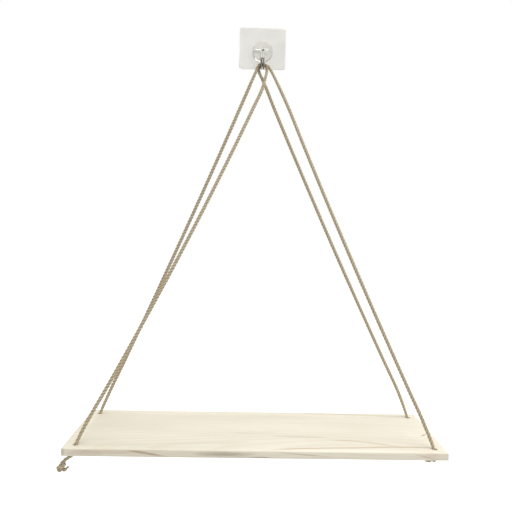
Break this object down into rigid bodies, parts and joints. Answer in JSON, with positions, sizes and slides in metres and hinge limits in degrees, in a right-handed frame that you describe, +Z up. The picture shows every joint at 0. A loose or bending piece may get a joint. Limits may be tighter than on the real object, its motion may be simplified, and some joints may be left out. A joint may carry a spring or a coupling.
{
  "type": "hanging rope shelf",
  "caption": "Pine plank shelf slung from one clear adhesive wall hook on knotted jute ropes.",
  "frame": {"origin": "centre of the face that sticks to the wall", "axes": "+X along the plank, +Y into the wall, +Z up; the shelf stands out towards -Y and hangs towards -Z"},
  "size_m": [0.4293, 0.1235, 0.5239],
  "materials": {
    "clear_film": "clear soft adhesive",
    "clear_plastic": "clear glossy moulding",
    "steel_wire": "bright drawn wire",
    "pine": "sanded and unfinished",
    "jute": "twisted natural fibre, matt and hairy"
  },
  "bodies": {
    "wall_mount": {"adhesive_film": "clear_film", "wall_plate": "clear_plastic", "hook_boss": "clear_plastic", "pivot_cover": "clear_plastic"},
    "hook": {"wire_hook": "steel_wire"},
    "hanging_shelf": {"plank": "pine", "left_rope": "jute", "right_rope": "jute"}
  },
  "joints": [
    {"name": "hook_fold", "type": "hinge", "parent": "wall_mount", "child": "hook", "pos_m": [0, -0.0056, -0.0034], "axis": [-1, 0, 0], "range_deg": [0, 25]},
    {"name": "side_swing", "type": "hinge", "parent": "hook", "child": "hanging_shelf", "pos_m": [0, -0.0116, -0.0275], "axis": [0, 1, 0], "range_deg": [-15, 15]}
  ]
}
